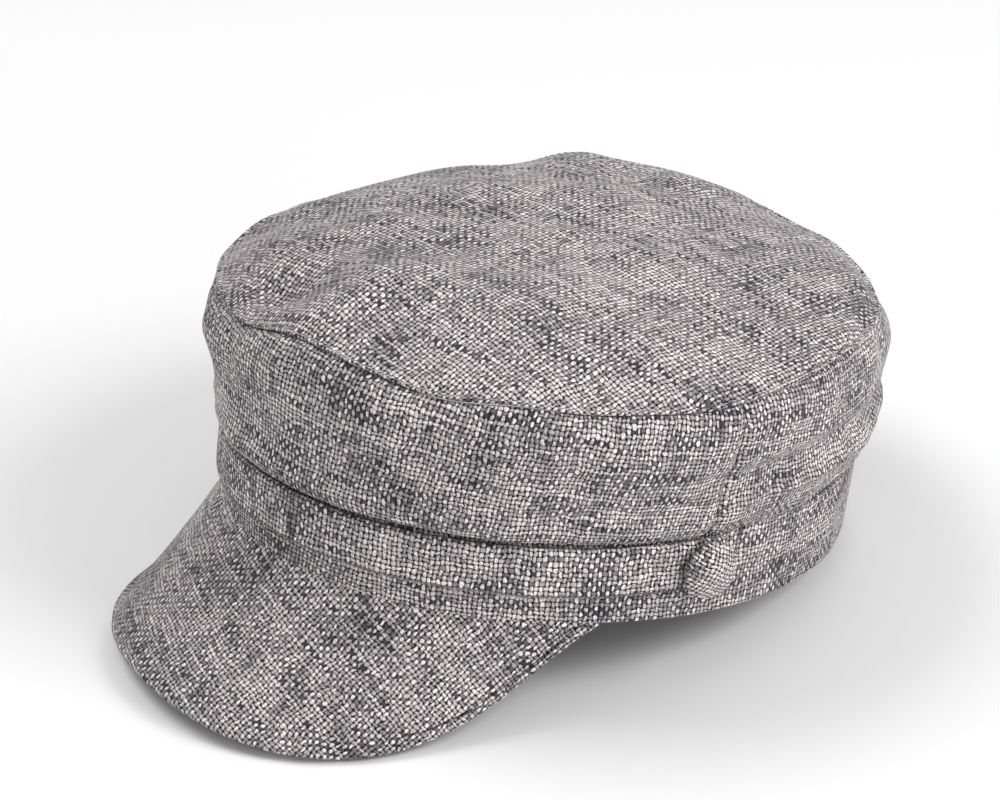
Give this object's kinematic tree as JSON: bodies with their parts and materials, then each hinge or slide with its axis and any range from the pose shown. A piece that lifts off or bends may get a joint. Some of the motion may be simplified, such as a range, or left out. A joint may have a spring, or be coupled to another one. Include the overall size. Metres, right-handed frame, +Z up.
{
  "type": "newsboy cap",
  "caption": "Woven newsboy cap with a soft flat crown, upright band, curved visor, front strap and fabric-covered side buttons; it keeps sun off the face and rests here on a table.",
  "frame": {"origin": "middle of the cap's footprint box, on the surface it rests on", "axes": "+X towards the wearer's left, +Y from the visor towards the back of the head, +Z up, with the cap standing on the visor's rim and the rear of the band"},
  "size_m": [0.2042, 0.2581, 0.1145],
  "materials": {
    "cloth": "coarse grey melange plain weave",
    "lining": "plain twill lining",
    "sweatband": "grosgrain tape",
    "elastic": "knitted elastic",
    "interlining": "stiff non-woven",
    "tab": "blank woven tab",
    "visor_board": "moulded sheet",
    "button_shell": "pressed sheet",
    "shank_wire": "drawn wire",
    "sewing_thread": "wound sewing thread"
  },
  "bodies": {
    "cap": {"band": "cloth", "band_interlining": "interlining", "crown_front_interlining": "interlining", "crown_seam_allowance": "cloth", "crown_side_front": "cloth", "crown_side_rear": "cloth", "crown_top": "cloth", "lining_side_front": "lining", "lining_side_rear": "lining", "lining_top": "lining", "rear_elastic": "elastic", "size_tab": "tab", "strap_cover": "cloth", "strap_interlining": "interlining", "sweatband": "sweatband", "visor_seam_cloth": "cloth"},
    "visor": {"visor_board": "visor_board", "visor_edge_seam": "cloth", "visor_top_cover": "cloth", "visor_under_cover": "cloth"},
    "button_left": {"button_left_back": "button_shell", "button_left_cover": "cloth", "button_left_shank": "shank_wire", "button_left_shell": "button_shell", "button_left_thread": "sewing_thread"},
    "button_right": {"button_right_back": "button_shell", "button_right_cover": "cloth", "button_right_shank": "shank_wire", "button_right_shell": "button_shell", "button_right_thread": "sewing_thread"}
  },
  "joints": [
    {"name": "visor_flex", "type": "hinge", "parent": "cap", "child": "visor", "pos_m": [0, -0.07232, 0.03456], "axis": [1, 0, 0], "range_deg": [-6, 4], "stiffness_Nm_per_rad": 4, "deforming": ["visor_seam_cloth"]},
    {"name": "button_left_turn", "type": "hinge", "parent": "cap", "child": "button_left", "pos_m": [0.08554, 0.00972, 0.03865], "axis": [0.9979, -0.0632, 0.0122], "range_deg": [-35, 35], "stiffness_Nm_per_rad": 0.002},
    {"name": "button_right_turn", "type": "hinge", "parent": "cap", "child": "button_right", "pos_m": [-0.08554, 0.00972, 0.03865], "axis": [-0.9979, -0.0632, 0.0122], "range_deg": [-35, 35], "stiffness_Nm_per_rad": 0.002}
  ]
}
